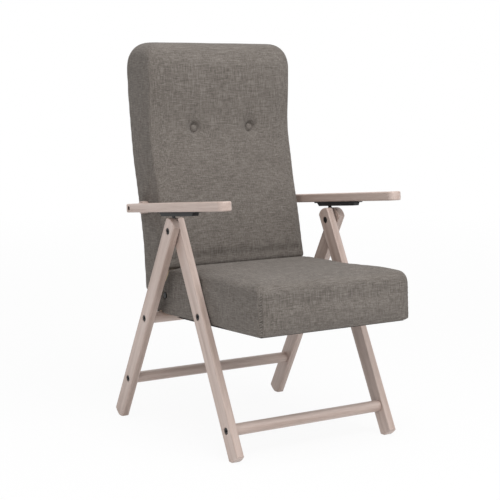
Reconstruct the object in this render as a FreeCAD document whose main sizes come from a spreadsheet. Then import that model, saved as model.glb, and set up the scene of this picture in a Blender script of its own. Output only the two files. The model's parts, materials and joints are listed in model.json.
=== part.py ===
import FreeCAD, Part
import math
import os
from FreeCAD import Placement, Rotation, Vector

# Folding wooden recliner. Millimetres, +Z up, +Y to the rear, +X to the right of someone facing its front.
# Right-hand pieces are modelled and mirrored to the left.

doc = FreeCAD.newDocument("recliner")
sheet = doc.addObject("Spreadsheet::Sheet", "sizes")

SIZES = [
    # where the two leg pairs cross, and how far each leans from upright
    ("apex_y", 33.9),
    ("apex_z", 580.6),
    ("rear_lean", 28.4),
    ("front_lean", 27.4),
    # legs
    ("leg_width", 47),
    ("leg_thick", 22),
    ("leg_top", 36),
    ("leg_edge", 3),
    ("leg_corner", 6),
    ("foot_flat", 18),
    ("foot_rise", 7),
    # places along the legs, measured from the apex
    ("rear_upper_at", 299.2),
    ("seat_pivot_at", 250.1),
    # bars near the feet, measured along the legs from the floor
    ("rear_lower_up", 139),
    ("front_bar_up", 87.6),
    ("bar_dia", 32),
    # bolts
    ("bolt_dia", 8),
    ("bolt_fit", 0.05),
    ("head_dia", 16),
    ("head_tall", 5),
    ("socket_wide", 8),
    ("socket_deep", 3),
    ("recess_dia", 20),
    ("recess_deep", 6),
    ("bar_grip", 40),
    ("apex_washer_dia", 24),
    ("apex_washer_thick", 1),
    # latch plates on the leg tops
    ("latch_thick", 3),
    ("latch_reach_y", 10),
    ("latch_reach_z", 45.4),
    ("latch_tip", 12),
    # seat, in a frame of its own at the seat pivot
    ("seat_tilt", 1.9),
    ("seat_half", 236.5),
    ("seat_front", 277.5),
    ("seat_rear", 195),
    ("seat_low", 22.6),
    ("seat_high", 107),
    ("seat_crown", 9),
    ("seat_bulge", 5),
    ("side_draw", 9),
    ("seat_corner", 16),
    ("seat_nose", 28),
    ("seat_skin", 7),
    ("side_cover", 4.5),
    ("leg_gap", 3.5),
    ("rail_thick", 18),
    ("rail_low", 20),
    ("rail_high", 40),
    ("rail_end", 280),
    ("ear_high", 104),
    ("ear_start", 150),
    ("ear_top", 196),
    ("cross_thick", 22),
    ("strap_wide", 45),
    ("strap_thick", 2),
    ("strap_count", 6),
    ("screw_dia", 5),
    ("screw_long", 55),
    ("screw_head", 9),
    ("pivot_washer_dia", 30),
    ("skin_gap", 0.3),
    # hinge between seat and back, from the apex
    ("hinge_y", 113.3),
    ("hinge_z", -197.6),
    ("hinge_washer_thick", 2),
    ("hinge_washer_dia", 24),
    ("hinge_disc_thick", 8),
    ("hinge_disc_dia", 76),
    # back, in a frame of its own at the hinge
    ("back_play", 0.5),
    ("back_top", 712),
    ("back_deep", 212),
    ("back_round", 44),
    ("back_crown", 8),
    ("back_skin", 12),
    ("stile_wide", 44),
    ("stile_thick", 24),
    ("stile_short", 30),
    ("back_rail_thick", 24),
    ("back_rail_high", 50),
    ("tongue_gap", 1),
    ("button_x", 94),
    ("button_dia", 23),
    ("button_tall", 6),
    ("tuft_deep", 9),
    ("tuft_radius", 48),
    ("tuft_cord_dia", 2),
    # arms, in a frame of their own at the arm bolt
    ("arm_bolt_y", 216),
    ("arm_bolt_z", 45.4),
    ("arm_tilt", 5.3),
    ("spacer_wide", 18),
    ("spacer_gap", 1),
    ("arm_wide", 40),
    ("arm_thick", 25),
    ("arm_front", 511),
    ("arm_back", 17),
    ("arm_round", 18),
    ("arm_edge", 4),
    ("spacer_dia", 36),
    ("arm_head_dia", 11.5),
    ("arm_head_tall", 4),
    # racks under the arms
    ("rack_inset", 1.5),
    ("rack_wide", 20),
    ("rack_tall", 12),
    ("rack_flange", 3),
    ("rack_front", 348),
    ("rack_back", 137),
    ("rack_end", 14),
    ("notch_pitch", 28),
    ("notch_count", 5),
    ("notch_deep", 2.6),
    ("slot_wide", 6),
    ("slot_play", 1.8),
    ("rack_screw_dia", 3.5),
    ("rack_screw_head", 7),
    ("rack_screw_long", 18),
]
for row, (alias, size) in enumerate(SIZES, start=1):
    sheet.set(f"A{row}", alias)
    sheet.set(f"B{row}", str(size))
    sheet.setAlias(f"B{row}", alias)
doc.recompute()

X_AXIS = Vector(1, 0, 0)
# Share of a round corner's radius that the corner takes off in each direction at its middle
CUT_OFF = 1 - math.sqrt(0.5)
nodes = []


def val(alias):
    return float(sheet.get(alias))


def bind(obj, prop, formula):
    """Ties a property to the sheet; the formula's names in braces are aliases."""
    obj.setExpression(prop, formula.replace("{", "sizes.").replace("}", ""))


def node(obj, label):
    obj.Label = label
    nodes.append(obj)
    return obj


def turned(degrees, y, z, x=0.0):
    """Placement of a frame that is turned about X and has its origin at x, y, z."""
    return Placement(Vector(x, y, z), Rotation(X_AXIS, degrees))


def apex_place():
    return turned(0, val("apex_y"), val("apex_z"))


def point(y, z):
    return Vector(y, z, 0)


def line(a, b):
    return Part.LineSegment(point(*a), point(*b))


def arc(a, b, c):
    return Part.Arc(point(*a), point(*b), point(*c))


def chain(points):
    return [line(a, b) for a, b in zip(points, points[1:])]


def padded(name, curves, length, place, role="YZ_Plane"):
    """A body whose outline lies on one of its origin planes and is padded by a bound length."""
    body = doc.addObject("PartDesign::Body", name)
    plane = [f for f in body.Origin.OriginFeatures if f.Role == role][0]
    sketch = body.newObject("Sketcher::SketchObject", name + "_outline")
    sketch.AttachmentSupport = [(plane, "")]
    sketch.MapMode = "FlatFace"
    for curve in curves:
        sketch.addGeometry(curve, False)
    pad = body.newObject("PartDesign::Pad", name + "_pad")
    pad.Profile = sketch
    bind(pad, "Length", length)
    doc.recompute()
    body.Placement = place
    return body


def rounded(body, radius, above=-math.inf):
    """Rounds a pad's rim edges on both flat faces, where their middle is above a height in the body."""
    pad = body.Tip
    rims = []
    for number, edge in enumerate(pad.Shape.Edges, start=1):
        faces = pad.Shape.ancestorsOfType(edge, Part.Face)
        flat = [f for f in faces if abs(pad_normal(pad).dot(f.normalAt(0, 0))) > 0.999]
        if flat and edge.CenterOfMass.z > above:
            rims.append(f"Edge{number}")
    fillet = body.newObject("PartDesign::Fillet", body.Name + "_rim")
    fillet.Base = (pad, rims)
    bind(fillet, "Radius", radius)
    doc.recompute()
    return body


def pad_normal(pad):
    sketch = pad.Profile[0]
    return sketch.Placement.Rotation.multVec(Vector(0, 0, 1))


def rod(name, start_x, y, z, radius, height, place=None):
    """A cylinder along X, from start_x towards +X, in a frame that may be turned."""
    made = doc.addObject("Part::Cylinder", name)
    bind(made, "Radius", radius)
    bind(made, "Height", height)
    along = Placement(Vector(start_x, y, z), Rotation(Vector(0, 1, 0), 90))
    made.Placement = (place or Placement()).multiply(along)
    return made


def block(name, corner, sizes, place):
    """A box with bound sizes; its corner is given in the frame of its placement."""
    made = doc.addObject("Part::Box", name)
    for prop, formula in zip(("Length", "Width", "Height"), sizes):
        bind(made, prop, formula)
    made.Placement = place.multiply(Placement(Vector(*corner), Rotation()))
    return made


def fused(name, parts):
    made = doc.addObject("Part::MultiFuse", name)
    made.Shapes = parts
    return made


def cut(name, base, tools):
    made = doc.addObject("Part::Cut", name)
    made.Base = base
    made.Tool = fused(name + "_tools", tools) if len(tools) > 1 else tools[0]
    return made


def group(name, parts):
    made = doc.addObject("Part::Compound", name)
    made.Links = parts
    return node(made, name)


def mirrored(source, label):
    made = doc.addObject("Part::Mirroring", label)
    made.Source = source
    made.Normal = X_AXIS
    return node(made, label)


def both_sides(source, stem):
    """Names the right-hand piece and mirrors it to the left."""
    node(source, stem + "_right")
    return mirrored(source, stem + "_left")


def pair(name, part):
    """Two like fasteners, right and left, as one node of separate solids."""
    twin = doc.addObject("Part::Mirroring", name + "_twin")
    twin.Source = part
    twin.Normal = X_AXIS
    return [part, twin]


# Frames shared by the pieces

def leg_frame(lean):
    return turned(lean, val("apex_y"), val("apex_z"))


def along_leg(lean, distance):
    """World y and z of a place on a leg's axis; a positive lean goes to the rear."""
    angle = math.radians(lean)
    y = val("apex_y") + distance * math.sin(angle)
    z = val("apex_z") - distance * math.cos(angle)
    return y, z


REAR = val("rear_lean")
FRONT = -val("front_lean")
REAR_LOWER_AT = val("apex_z") / math.cos(math.radians(REAR)) - val("rear_lower_up")
FRONT_BAR_AT = val("apex_z") / math.cos(math.radians(FRONT)) - val("front_bar_up")
SEAT_Y, SEAT_Z = along_leg(FRONT, val("seat_pivot_at"))
BAR_Y, BAR_Z = along_leg(REAR, val("rear_upper_at"))
HINGE_Y = val("apex_y") + val("hinge_y")
HINGE_Z = val("apex_z") + val("hinge_z")
ARM_Y = val("apex_y") + val("arm_bolt_y")
ARM_Z = val("apex_z") + val("arm_bolt_z")
seat_frame = turned(-val("seat_tilt"), SEAT_Y, SEAT_Z)
back_frame = turned(0, HINGE_Y, HINGE_Z)
arm_frame = turned(-val("arm_tilt"), ARM_Y, ARM_Z)


def seen_from(frame, y, z):
    """A world y and z in the y and z of a turned frame."""
    local = frame.inverse().multVec(Vector(0, y, z))
    return local.y, local.z


# Legs

def leg_outline(lean, side):
    """Leg hanging from the apex; side is +1 where the outer edge is towards +Y, -1 towards -Y."""
    angle = math.radians(abs(lean))
    half = val("leg_width") / 2
    top = val("leg_top")
    corner = val("leg_corner")
    corner_u = half - corner
    corner_v = math.sqrt((top - corner) ** 2 - corner_u ** 2)
    turn = math.atan2(corner_v, corner_u)

    def corner_arc(way):
        """Small arc that joins the leg's side to the round of its top."""
        bend = (corner_u + corner * math.cos(turn / 2), corner_v + corner * math.sin(turn / 2))
        return arc((half * way, corner_v), (bend[0] * way, bend[1]), crown_end(way))

    def crown_end(way):
        return top * math.cos(turn) * way, top * math.sin(turn)

    def floor(u):
        return (val("apex_z") + u * math.sin(angle)) / math.cos(angle)

    heel = -half + val("foot_flat") * math.cos(angle)
    toe = floor(heel) - val("foot_rise")
    middle = (heel + half) / 2
    bow = (floor(heel) + toe) / 2 + val("foot_rise") / 3
    inner_top = (-half * side, corner_v)
    outer_top = (half * side, corner_v)
    inner_foot = (-half * side, -floor(-half))
    heel_foot = (heel * side, -floor(heel))
    outer_foot = (half * side, -toe)
    return [
        corner_arc(-side),
        arc(crown_end(-side), (0, top), crown_end(side)),
        corner_arc(side),
        line(outer_top, outer_foot),
        arc(outer_foot, (middle * side, -bow), heel_foot),
        line(heel_foot, inner_foot),
        line(inner_foot, inner_top),
    ]


def bolt_hole(name, start_x, y, z, height, place=None):
    return rod(name, start_x, y, z, "{bolt_dia} / 2 + {bolt_fit}", height, place)


def recess(name, start_x, y, z, place=None):
    return rod(name, start_x, y, z, "{recess_dia} / 2", "{recess_deep}", place)


FRONT_INNER = val("seat_half") + val("leg_gap")
FRONT_OUTER = FRONT_INNER + val("leg_thick")
REAR_INNER = FRONT_OUTER + val("latch_thick") + val("apex_washer_thick")
REAR_OUTER = REAR_INNER + val("leg_thick")
RAIL_OUTER = val("seat_half") - val("side_cover")
BACK_HALF = val("seat_half") - val("back_play")
SPACER_X = BACK_HALF + val("spacer_gap")
ARM_INNER = SPACER_X + val("spacer_wide")


def leg(stem, lean, side, inner_x, holes, sunk):
    frame = leg_frame(lean)
    frame.Base.x = inner_x
    body = padded(stem, leg_outline(lean, side), "{leg_thick}", frame)
    rounded(body, "{leg_edge}", -val("apex_z") + 2 * val("leg_width"))
    outer_x = inner_x + val("leg_thick")
    tools = []
    for number, distance in enumerate(holes):
        y, z = along_leg(lean, distance)
        tools.append(bolt_hole(f"{stem}_bore_{number}", inner_x, y, z, "{leg_thick}"))
        if distance in sunk:
            start = outer_x - val("recess_deep")
            tools.append(recess(f"{stem}_recess_{number}", start, y, z))
    return body, tools


rear_holes = [0, val("rear_upper_at"), REAR_LOWER_AT]
body, tools = leg("rear_leg", REAR, 1, REAR_INNER, rear_holes, rear_holes)
both_sides(cut("rear_leg_drilled", body, tools), "rear_leg")

front_holes = [0, val("seat_pivot_at"), FRONT_BAR_AT]
body, tools = leg("front_leg", FRONT, -1, FRONT_INNER, front_holes, front_holes[1:])
tools.append(recess("apex_nut_recess", FRONT_INNER, val("apex_y"), val("apex_z")))
both_sides(cut("front_leg_drilled", body, tools), "front_leg")


# Stretchers and the bolts in their ends

def stretcher(label, lean, distance, inner_x):
    y, z = along_leg(lean, distance)
    bar = doc.addObject("Part::Cylinder", label + "_bar")
    bind(bar, "Radius", "{bar_dia} / 2")
    bar.Height = 2 * inner_x
    bar.Placement = Placement(Vector(-inner_x, y, z), Rotation(Vector(0, 1, 0), 90))
    bores = []
    for name, start in (("right", inner_x - val("bar_grip")), ("left", -inner_x)):
        bores.append(bolt_hole(f"{label}_bore_{name}", start, y, z, "{bar_grip}"))
    return node(cut(label + "_bored", bar, bores), label)


def socket_head(name, start_x, y, z, dia, tall):
    """Round bolt head along X with a hexagon socket in its outer end; dia and tall are aliases."""
    disc = rod(name + "_disc", start_x, y, z, f"{{{dia}}} / 2", f"{{{tall}}}")
    hexagon = doc.addObject("Part::Prism", name + "_socket")
    hexagon.Polygon = 6
    bind(hexagon, "Circumradius", "{socket_wide} / 2")
    bind(hexagon, "Height", "{socket_deep}")
    floor_x = start_x + val(tall) - val("socket_deep")
    hexagon.Placement = Placement(Vector(floor_x, y, z), Rotation(Vector(0, 1, 0), 90))
    return cut(name, disc, [hexagon])


def leg_bolt(name, outer_x, end_x, y, z):
    """Bolt with its head sunk in a leg's outer face and its shank running in to end_x."""
    seat_x = outer_x - val("recess_deep")
    head = socket_head(name + "_head", seat_x, y, z, "head_dia", "head_tall")
    shank = rod(name + "_shank", end_x, y, z, "{bolt_dia} / 2", str(seat_x - end_x))
    return fused(name, [head, shank])


stretcher("rear_upper_stretcher", REAR, val("rear_upper_at"), REAR_INNER)
stretcher("rear_lower_stretcher", REAR, REAR_LOWER_AT, REAR_INNER)
stretcher("front_stretcher", FRONT, FRONT_BAR_AT, FRONT_INNER)

bolts = []
for name, distance in (("upper", val("rear_upper_at")), ("lower", REAR_LOWER_AT)):
    y, z = along_leg(REAR, distance)
    end_x = REAR_INNER - val("bar_grip") + 1
    bolts += pair(f"bolt_{name}", leg_bolt(f"bolt_{name}", REAR_OUTER, end_x, y, z))
group("rear_stretcher_bolts", bolts)

y, z = along_leg(FRONT, FRONT_BAR_AT)
end_x = FRONT_INNER - val("bar_grip") + 1
group("front_stretcher_bolts", pair("bolt_front", leg_bolt("bolt_front", FRONT_OUTER, end_x, y, z)))


# Apex: bolts, nuts, latch plates and the washers that keep the legs apart

def ring(name, start_x, y, z, dia, thick, place=None):
    """A washer along X with a bolt hole."""
    disc = rod(name + "_disc", start_x, y, z, dia + " / 2", thick, place)
    hole = bolt_hole(name + "_hole", start_x, y, z, thick, place)
    return cut(name, disc, [hole])


APEX = (val("apex_y"), val("apex_z"))
apex_nut_x = FRONT_INNER + val("recess_deep")
group("apex_bolts", pair("apex_bolt", leg_bolt("apex_bolt", REAR_OUTER, apex_nut_x, *APEX)))
nut_start = FRONT_INNER + val("recess_deep") - val("head_tall")
nut = rod("apex_nut", nut_start, *APEX, "{head_dia} / 2", "{head_tall}")
group("apex_nuts", pair("apex_nut", nut))
washer_x = REAR_INNER - val("apex_washer_thick")
washer = ring("apex_washer", washer_x, *APEX, "{apex_washer_dia}", "{apex_washer_thick}")
group("apex_washers", pair("apex_washer", washer))


def latch_outline():
    """Tab with a round foot on the apex bolt and a blunt tip that stands in the rack."""
    foot = val("apex_washer_dia") / 2
    tip_y = val("latch_reach_y")
    tip_z = val("latch_reach_z")
    half = val("latch_tip") / 2
    blunt = half / 3
    sides = chain([
        (foot, 0),
        (tip_y + half, tip_z - blunt),
        (tip_y + half - blunt, tip_z),
        (tip_y - half + blunt, tip_z),
        (tip_y - half, tip_z - blunt),
        (-foot, 0),
    ])
    return sides + [arc((-foot, 0), (0, -foot), (foot, 0))]


latch_place = apex_place()
latch_place.Base.x = FRONT_OUTER
latch = padded("latch", latch_outline(), "{latch_thick}", latch_place)
latch_hole = bolt_hole("latch_hole", FRONT_OUTER, *APEX, "{latch_thick}")
both_sides(cut("latch_drilled", latch, [latch_hole]), "latch_plate")


# Seat frame: side rails with ears for the hinge, cross rails, screws and straps

RAIL_INNER = RAIL_OUTER - val("rail_thick")
hinge_in_seat = seen_from(seat_frame, HINGE_Y, HINGE_Z)
bar_in_seat = seen_from(seat_frame, BAR_Y, BAR_Z)
NOTCH = val("bar_dia") / 2 + val("skin_gap")


def notch_ends():
    """Where the round notch over the rear bar meets the rails' underside."""
    rise = -val("rail_low") - bar_in_seat[1]
    half = math.sqrt(NOTCH ** 2 - rise ** 2)
    return bar_in_seat[0] - half, bar_in_seat[0] + half


def rail_underside(start):
    """Underside from start to the rail's end, with the notch that lies on the rear bar."""
    low = -val("rail_low")
    notch_a, notch_b = notch_ends()
    crown = (bar_in_seat[0], bar_in_seat[1] + NOTCH)
    return [
        line((start, low), (notch_a, low)),
        arc((notch_a, low), crown, (notch_b, low)),
        line((notch_b, low), (val("rail_end"), low)),
    ]


FRONT_RAIL_Y = -val("seat_front") + val("seat_skin") + val("skin_gap")
REAR_RAIL_Y = val("ear_start")


def rail_outline():
    low = -val("rail_low")
    upper = chain([
        (val("rail_end"), low),
        (val("rail_end") + 3, low + 6),
        (val("ear_top"), val("ear_high")),
        (val("ear_top") - 20, val("ear_high")),
        (val("ear_start"), val("rail_high")),
        (FRONT_RAIL_Y, val("rail_high")),
        (FRONT_RAIL_Y, low),
    ])
    return rail_underside(FRONT_RAIL_Y) + upper


frame_screw_places = []
for rail_y in (FRONT_RAIL_Y, REAR_RAIL_Y):
    for height in (-0.5, 1.5):
        middle = rail_y + val("cross_thick") / 2
        frame_screw_places.append((middle, val("rail_high") / 2 * height))

seat_rail_place = seat_frame.multiply(Placement(Vector(RAIL_INNER, 0, 0), Rotation()))
rail = padded("seat_rail", rail_outline(), "{rail_thick}", seat_rail_place)
tools = [
    bolt_hole("rail_pivot_bore", RAIL_INNER, 0, 0, "{rail_thick}", seat_frame),
    bolt_hole("rail_hinge_bore", RAIL_INNER, *hinge_in_seat, "{rail_thick}", seat_frame),
]
SCREW_BORE = "{screw_dia} / 2 + {bolt_fit}"
SCREW_SINK = "{screw_head} / 2 + {bolt_fit}"
for number, (y, z) in enumerate(frame_screw_places):
    tools.append(rod(f"rail_screw_bore_{number}", RAIL_INNER, y, z, SCREW_BORE, "{rail_thick}", seat_frame))
    sink_x = RAIL_OUTER - val("head_tall")
    tools.append(rod(f"rail_sink_{number}", sink_x, y, z, SCREW_SINK, "{head_tall}", seat_frame))
both_sides(cut("seat_rail_drilled", rail, tools), "seat_rail")


def cross_rail(label, start_y, places):
    corner = (-RAIL_INNER, start_y, -val("rail_low"))
    sizes = (str(2 * RAIL_INNER), "{cross_thick}", "{rail_low} + {rail_high}")
    plain = block(label + "_plain", corner, sizes, seat_frame)
    bores = []
    depth = val("screw_long") - val("rail_thick") + val("head_tall")
    for number, (y, z) in enumerate(places):
        for name, start in (("right", RAIL_INNER - depth), ("left", -RAIL_INNER)):
            bore = f"{label}_bore_{name}_{number}"
            bores.append(rod(bore, start, y, z, SCREW_BORE, str(depth), seat_frame))
    return node(cut(label + "_bored", plain, bores), label)


cross_rail("seat_front_rail", FRONT_RAIL_Y, frame_screw_places[:2])
cross_rail("seat_rear_rail", REAR_RAIL_Y, frame_screw_places[2:])

screws = []
for number, (y, z) in enumerate(frame_screw_places):
    head_x = RAIL_OUTER - val("head_tall")
    head = rod(f"frame_screw_head_{number}", head_x, y, z, "{screw_head} / 2", "{head_tall}", seat_frame)
    tip_x = head_x - val("screw_long") + 2
    name = f"frame_screw_shank_{number}"
    shank = rod(name, tip_x, y, z, "{screw_dia} / 2", "{screw_long} - 2", seat_frame)
    screws += pair(f"frame_screw_{number}", fused(f"frame_screw_{number}", [head, shank]))
group("seat_frame_screws", screws)

straps = []
strap_start = FRONT_RAIL_Y + 2
strap_end = REAR_RAIL_Y + val("cross_thick") - 2
for number in range(int(val("strap_count"))):
    pitch = 2 * RAIL_INNER / val("strap_count")
    corner_x = -RAIL_INNER + pitch * (number + 0.5) - val("strap_wide") / 2
    corner = (corner_x, strap_start, val("rail_high"))
    sizes = ("{strap_wide}", str(strap_end - strap_start), "{strap_thick}")
    straps.append(block(f"seat_strap_{number}", corner, sizes, seat_frame))
group("seat_webbing", straps)

dust_low = -val("seat_low") + val("skin_gap")
dust_x = RAIL_OUTER - 1
dust_sizes = (str(2 * dust_x), str(strap_end - strap_start), "{seat_low} - {rail_low} - {skin_gap}")
dust = block("dust_sheet", (-dust_x, strap_start, dust_low), dust_sizes, seat_frame)
node(dust, "seat_dust_cover")


# Seat pivot bolts and washers

def seat_bolt():
    end_x = RAIL_INNER - val("head_tall") + 3
    return leg_bolt("seat_bolt", FRONT_OUTER, end_x, SEAT_Y, SEAT_Z)


group("seat_pivot_bolts", pair("seat_bolt", seat_bolt()))
PIVOT_GAP = FRONT_INNER - RAIL_OUTER
washer = ring("seat_washer", RAIL_OUTER, SEAT_Y, SEAT_Z, "{pivot_washer_dia}", str(PIVOT_GAP))
group("seat_pivot_washers", pair("seat_washer", washer))


# Fabric over the rail ends

def ear_outline():
    low = -val("rail_low")
    start = val("seat_rear") + 2
    slope = (val("rail_end") + 3 - val("ear_top")) / (val("ear_high") - 6 + val("rail_low"))
    top = val("ear_high") - (start + 1 - val("ear_top")) / slope - 1
    upper = chain([
        (val("rail_end"), low),
        (val("rail_end") + 3, low + 6),
        (start + 1, top),
        (start, top),
        (start, low),
    ])
    return rail_underside(start) + upper


ear_place = seat_frame.multiply(Placement(Vector(RAIL_OUTER, 0, 0), Rotation()))
ear = padded("ear", ear_outline(), "{side_cover} - {back_play}", ear_place)
head_room = "{head_dia} / 2 + {back_play}"
head_hole = rod("ear_hole", RAIL_OUTER, *hinge_in_seat, head_room, "{side_cover}", seat_frame)
both_sides(cut("ear_drilled", ear, [head_hole]), "ear_cover")


# Soft forms: lofts through side outlines that swell towards the middle of the piece

def wire(curves, x, frame):
    loop = Part.Wire([curve.toShape() for curve in curves])
    upright = Placement(Vector(x, 0, 0), Rotation(Vector(1, 1, 1), 120))
    loop.Placement = frame.multiply(upright)
    return loop


def outline_solid(curves, x, length, frame):
    """Solid between x and x + length with a side outline."""
    face = Part.Face(wire(curves, x, frame))
    return face.extrude(Vector(length, 0, 0))


def box_solid(x, y, z, frame):
    """Box between pairs of x, y and z in a turned frame."""
    made = Part.makeBox(x[1] - x[0], y[1] - y[0], z[1] - z[0], Vector(x[0], y[0], z[0]))
    made.Placement = frame
    return made


def rod_solid(x, length, y, z, radius):
    return Part.makeCylinder(radius, length, Vector(x, y, z), X_AXIS)


def set_solid(label, shape):
    made = doc.addObject("Part::Feature", label)
    made.Shape = shape
    return node(made, label)


# Where the cushions are sectioned, as shares of the half width
SIDE = [0.3, 0.55, 0.72, 0.8, 0.85, 0.9, 0.94, 0.97, 0.99, 1]
STATIONS = [-share for share in reversed(SIDE)] + [0] + SIDE
# Beyond this share the outline draws in towards the cushion's side
DRAW_FROM = 0.8


def side_swell(share):
    """Draw-in of a cushion's outline in mm, and the share of the crown that is left."""
    past = max(0.0, abs(share) - DRAW_FROM) / (1 - DRAW_FROM)
    return val("side_draw") * past ** 5, 1 - 0.9 * share ** 2


def seat_section(share, draw_in, crown):
    """Seat outline from the front, over the top, to the rear and back along the bottom."""
    front = -val("seat_front") + draw_in
    rear = val("seat_rear") - draw_in
    high = val("seat_high") - draw_in
    low = -val("seat_low")
    nose = val("seat_nose")
    nose_bend = nose * CUT_OFF
    corner = val("seat_corner")
    bend = corner * CUT_OFF
    rise = crown * val("seat_crown")
    middle = (front + rear) / 2
    bulge = val("seat_bulge") * (0.4 + 0.6 * crown)
    half_up = (low + high) / 2
    return [
        arc((front, low), (front - bulge, half_up), (front, high - nose)),
        arc((front, high - nose), (front + nose_bend, high - nose_bend), (front + nose, high)),
        arc((front + nose, high), (middle, high + rise), (rear - corner, high)),
        arc((rear - corner, high), (rear - bend, high - bend), (rear, high - corner)),
        line((rear, high - corner), (rear, low)),
        line((rear, low), (front, low)),
    ]


def swollen(section, half, frame):
    wires = []
    for share in STATIONS:
        draw_in, crown = side_swell(share)
        wires.append(wire(section(share, draw_in, crown), share * half, frame))
    return Part.makeLoft(wires, True, False)


GAP = val("skin_gap")
foam_half = RAIL_INNER - GAP
foam_y = (FRONT_RAIL_Y, val("seat_rear") - val("seat_skin"))
foam_z = (val("rail_high") + val("strap_thick"), val("seat_high") - 2 * val("seat_skin"))
foam = box_solid((-foam_half, foam_half), foam_y, foam_z, seat_frame)
set_solid("seat_foam", foam)

outer_x = RAIL_OUTER + GAP
past_rear = val("seat_rear") + val("seat_skin")
frame_room = box_solid(
    (-outer_x, outer_x),
    (FRONT_RAIL_Y - GAP, past_rear),
    (-val("seat_low") - val("seat_skin"), val("rail_high") + GAP),
    seat_frame,
)
ear_room = box_solid(
    (-outer_x, outer_x),
    (val("ear_start") - GAP, past_rear),
    (0, val("ear_high") + GAP),
    seat_frame,
)
foam_room = box_solid(
    (-foam_half - GAP, foam_half + GAP),
    (foam_y[0] - GAP, foam_y[1] + GAP),
    (0, foam_z[1] + GAP),
    seat_frame,
)
seat_shape = swollen(seat_section, val("seat_half"), seat_frame)
washer_room = rod_solid(-FRONT_INNER, 2 * FRONT_INNER, SEAT_Y, SEAT_Z, val("pivot_washer_dia") / 2 + 1)
seat_shape = seat_shape.cut([frame_room, ear_room, foam_room, washer_room])
set_solid("seat_cover", seat_shape)


# Back frame: stiles bent at the arm bolts, rails between them, straps on their front

ARM_IN_BACK = (ARM_Y - HINGE_Y, ARM_Z - HINGE_Z)
STILE_TOP = (0.684 * val("back_deep"), val("back_top") - val("stile_short"))
BUTTON_Z = 0.656 * val("back_top")
BACK_FOOT_Z = 0.154 * val("back_top")
STILE_X = RAIL_INNER - val("hinge_washer_thick") - val("stile_thick")


def lean_of(a, b):
    """Angle from upright of the way from a to b, towards the rear."""
    return math.atan2(b[0] - a[0], b[1] - a[1])


LOWER_LEAN = lean_of((0, 0), ARM_IN_BACK)
UPPER_LEAN = lean_of(ARM_IN_BACK, STILE_TOP)
BEND_LEAN = (LOWER_LEAN + UPPER_LEAN) / 2
BEND_GROW = 1 / math.cos((LOWER_LEAN - UPPER_LEAN) / 2)


def beside(place, lean, offset):
    """A point beside a place, square to a lean; a negative offset is to the front."""
    return place[0] + offset * math.cos(lean), place[1] - offset * math.sin(lean)


def stile_outline(grow=0.0):
    half = val("stile_wide") / 2 + grow
    front = [
        beside(STILE_TOP, UPPER_LEAN, -half),
        beside(ARM_IN_BACK, BEND_LEAN, -half * BEND_GROW),
        beside((0, 0), LOWER_LEAN, -half),
    ]
    rear = [
        beside((0, 0), LOWER_LEAN, half),
        beside(ARM_IN_BACK, BEND_LEAN, half * BEND_GROW),
        beside(STILE_TOP, UPPER_LEAN, half),
    ]
    toe = (-half * math.sin(LOWER_LEAN), -half * math.cos(LOWER_LEAN))
    end = arc(front[-1], toe, rear[0])
    return chain(front) + [end] + chain(rear) + [line(rear[-1], front[0])]


stile_place = back_frame.multiply(Placement(Vector(STILE_X, 0, 0), Rotation()))
stile = padded("back_stile", stile_outline(), "{stile_thick}", stile_place)
tools = [
    bolt_hole("stile_hinge_bore", STILE_X, 0, 0, "{stile_thick}", back_frame),
    bolt_hole("stile_arm_bore", STILE_X, *ARM_IN_BACK, "{stile_thick}", back_frame),
]
both_sides(cut("back_stile_drilled", stile, tools), "back_stile")


def stile_y(z):
    """Middle of the stiles at a height in the back's frame."""
    if z < ARM_IN_BACK[1]:
        return ARM_IN_BACK[0] * z / ARM_IN_BACK[1]
    return ARM_IN_BACK[0] + (z - ARM_IN_BACK[1]) * math.tan(UPPER_LEAN)


back_rails = {
    "back_bottom_rail": BACK_FOOT_Z,
    "back_middle_rail": BUTTON_Z,
    "back_top_rail": STILE_TOP[1] - val("back_rail_high") / 2,
}
for label, z in back_rails.items():
    corner_y = stile_y(z) - val("back_rail_thick") / 2
    corner = (-STILE_X, corner_y, z - val("back_rail_high") / 2)
    sizes = (str(2 * STILE_X), "{back_rail_thick}", "{back_rail_high}")
    node(block(label + "_plank", corner, sizes, back_frame), label)

straps = []
# the straps lie evenly to both sides of the button row, so that the cords pass between two of them
rows = (val("strap_count") - 1) / 2
strap_step = (STILE_TOP[1] - BUTTON_Z - val("strap_wide")) / rows
for number in range(int(val("strap_count"))):
    z = BUTTON_Z + (number - rows) * strap_step - val("strap_wide") / 2
    corner = beside((stile_y(z), z), UPPER_LEAN, -val("stile_wide") / 2 - val("strap_thick"))
    half = STILE_X + val("stile_thick") - 4
    place = back_frame.multiply(turned(-math.degrees(UPPER_LEAN), corner[0], corner[1]))
    sizes = (str(2 * half), "{strap_thick}", "{strap_wide}")
    straps.append(block(f"back_strap_{number}", (-half, 0, 0), sizes, place))
group("back_webbing", straps)


# Hinge bolts between the ears and the stiles

bolt_x = RAIL_OUTER
disc_x = STILE_X - val("hinge_disc_thick")
head = rod("hinge_head", bolt_x, 0, 0, "{head_dia} / 2", "{head_tall} - 1", back_frame)
shank = rod("hinge_shank", disc_x - 2, 0, 0, "{bolt_dia} / 2", str(bolt_x - disc_x + 2), back_frame)
nut = rod("hinge_nut", disc_x - 6, 0, 0, "{head_dia} / 2", "6", back_frame)
group("hinge_bolts", pair("hinge_bolt", fused("hinge_bolt", [head, shank, nut])))
washer_x = RAIL_INNER - val("hinge_washer_thick")
washer = ring("hinge_washer", washer_x, HINGE_Y, HINGE_Z, "{hinge_washer_dia}", "{hinge_washer_thick}")
group("hinge_washers", pair("hinge_washer", washer))
# steel discs that the nuts clamp on the bolts, beside the stiles
disc = ring("hinge_disc", disc_x, HINGE_Y, HINGE_Z, "{hinge_disc_dia}", "{hinge_disc_thick}")
group("hinge_discs", pair("hinge_disc", disc))


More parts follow.
